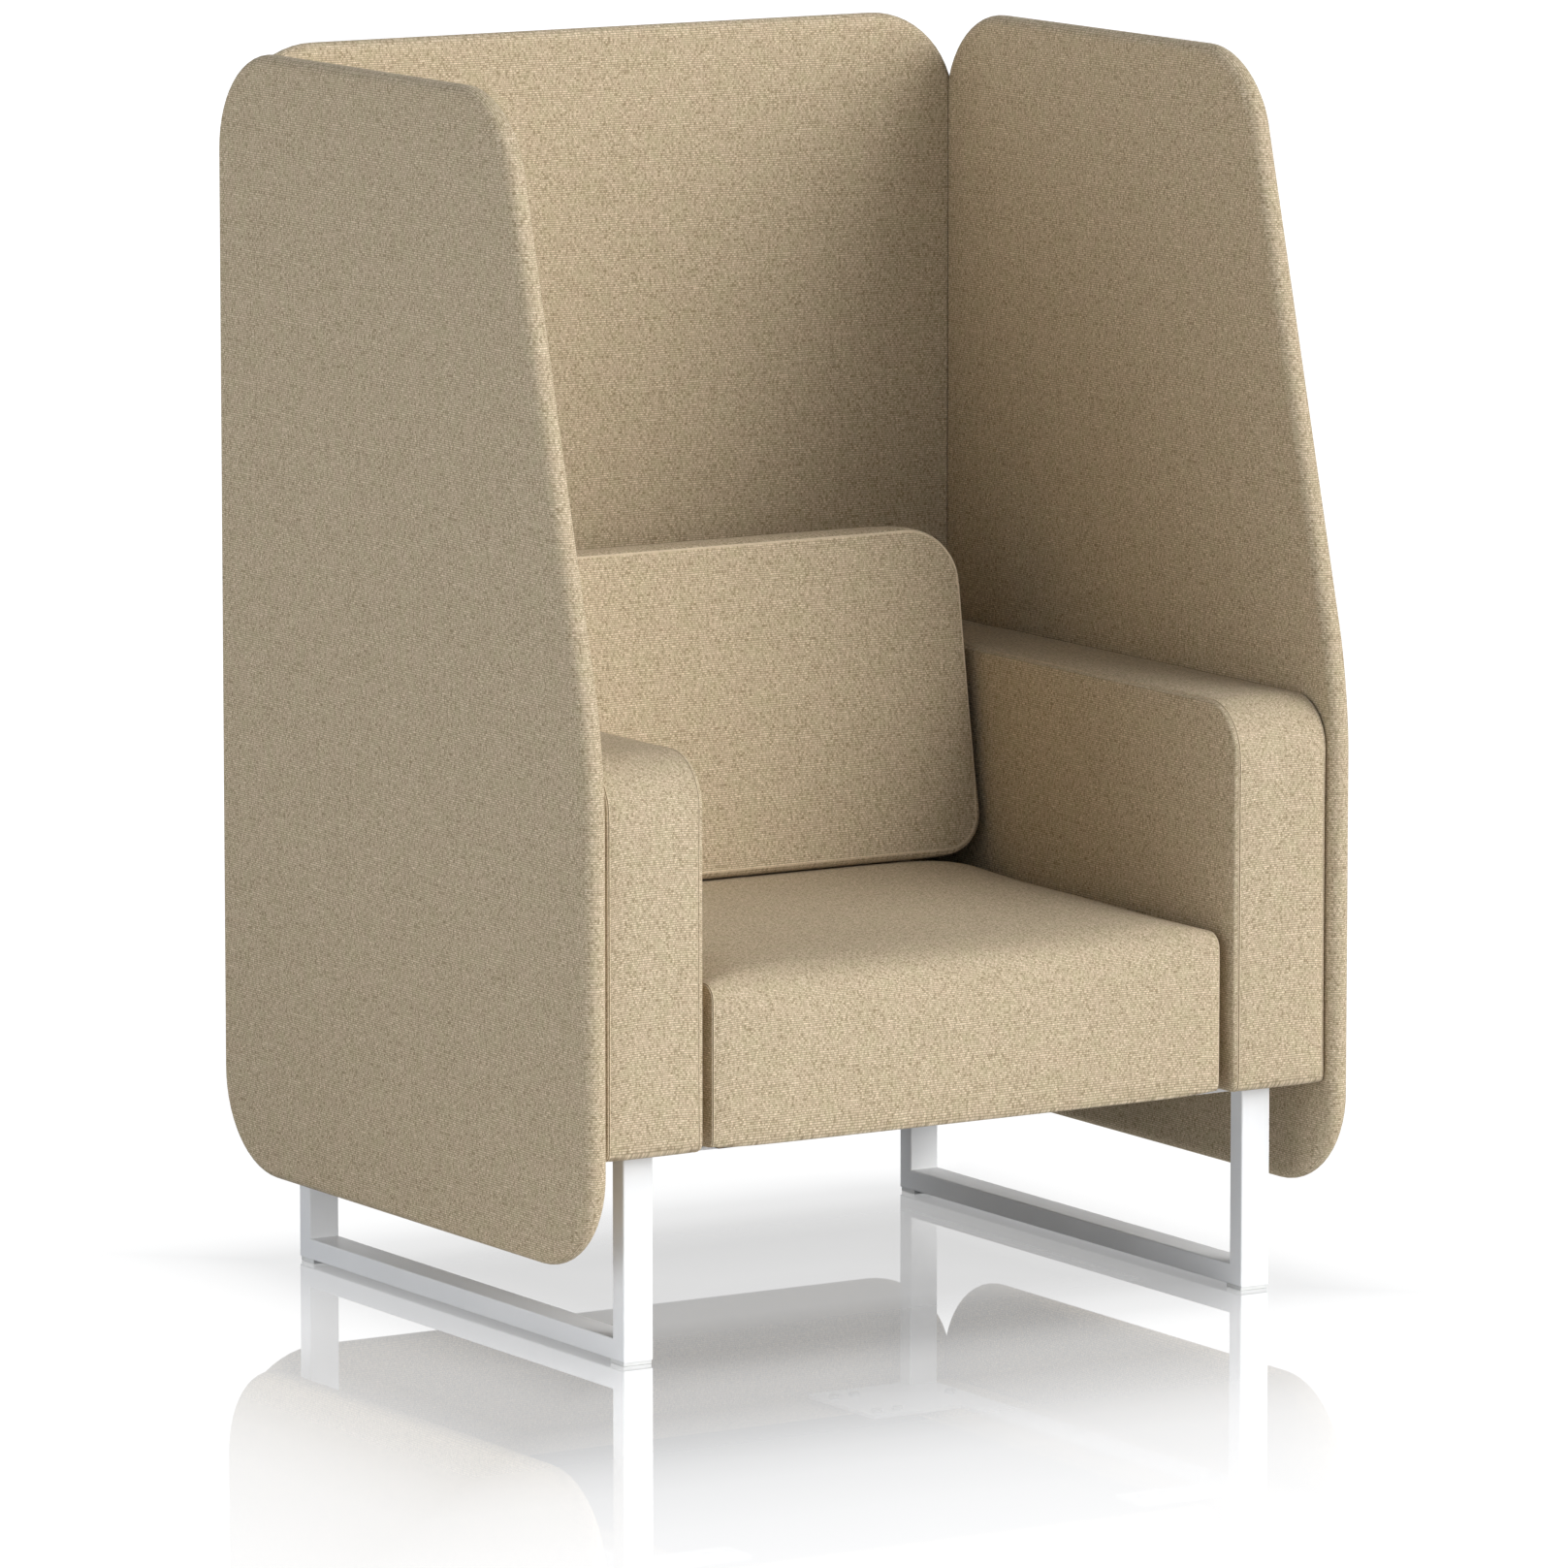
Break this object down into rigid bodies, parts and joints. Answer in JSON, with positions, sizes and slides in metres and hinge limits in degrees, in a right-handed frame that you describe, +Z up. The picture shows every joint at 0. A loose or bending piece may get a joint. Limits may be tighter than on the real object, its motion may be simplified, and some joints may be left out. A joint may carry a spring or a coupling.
{
  "type": "privacy booth sofa",
  "caption": "Upholstered booth seat with box arms and a loose back cushion, walled by tall padded side and back screens, on white steel sled legs.",
  "frame": {"origin": "on the floor, midway between the side screens and midway between the front and rear faces", "axes": "+Z up, +X to the sitter's left, the sitter faces -Y"},
  "size_m": [1.0526, 0.8774, 1.465],
  "materials": {
    "upholstery": "beige heathered woven cloth over foam",
    "white_steel": "white satin powder coat",
    "zinc_steel": "bright zinc plate",
    "glide": "moulded pale plastic",
    "timber": "planed softwood",
    "plywood": "sanded plywood",
    "core_board": "raw fibreboard",
    "dust_cloth": "black non-woven dust cloth"
  },
  "bodies": {
    "root": {"back_cushion": "upholstery", "back_frame": "timber", "back_front_panel": "plywood", "back_pad": "upholstery", "back_rear_panel": "plywood", "back_screen_board": "core_board", "back_screen_bolts": "zinc_steel", "back_screen_pad": "upholstery", "back_screen_sleeves": "zinc_steel", "back_screen_tee_nuts": "zinc_steel", "left_arm_frame": "timber", "left_arm_inner_panel": "plywood", "left_arm_outer_panel": "plywood", "left_arm_pad": "upholstery", "left_front_glide": "glide", "left_front_tab": "white_steel", "left_joint_bolts": "zinc_steel", "left_joint_sleeves": "zinc_steel", "left_joint_tee_nuts": "zinc_steel", "left_leg_frame": "white_steel", "left_mounting_strip": "white_steel", "left_plate_screws": "zinc_steel", "left_rear_glide": "glide", "left_rear_tab": "white_steel", "left_screen_board": "core_board", "left_screen_bolts": "zinc_steel", "left_screen_pad": "upholstery", "left_screen_sleeves": "zinc_steel", "left_screen_tee_nuts": "zinc_steel", "right_arm_frame": "timber", "right_arm_inner_panel": "plywood", "right_arm_outer_panel": "plywood", "right_arm_pad": "upholstery", "right_front_glide": "glide", "right_front_tab": "white_steel", "right_joint_bolts": "zinc_steel", "right_joint_sleeves": "zinc_steel", "right_joint_tee_nuts": "zinc_steel", "right_leg_frame": "white_steel", "right_mounting_strip": "white_steel", "right_plate_screws": "zinc_steel", "right_rear_glide": "glide", "right_rear_tab": "white_steel", "right_screen_board": "core_board", "right_screen_bolts": "zinc_steel", "right_screen_pad": "upholstery", "right_screen_sleeves": "zinc_steel", "right_screen_tee_nuts": "zinc_steel", "seat_cushion": "upholstery", "seat_deck": "plywood", "seat_dust_cover": "dust_cloth", "seat_frame": "timber"}
  },
  "joints": []
}
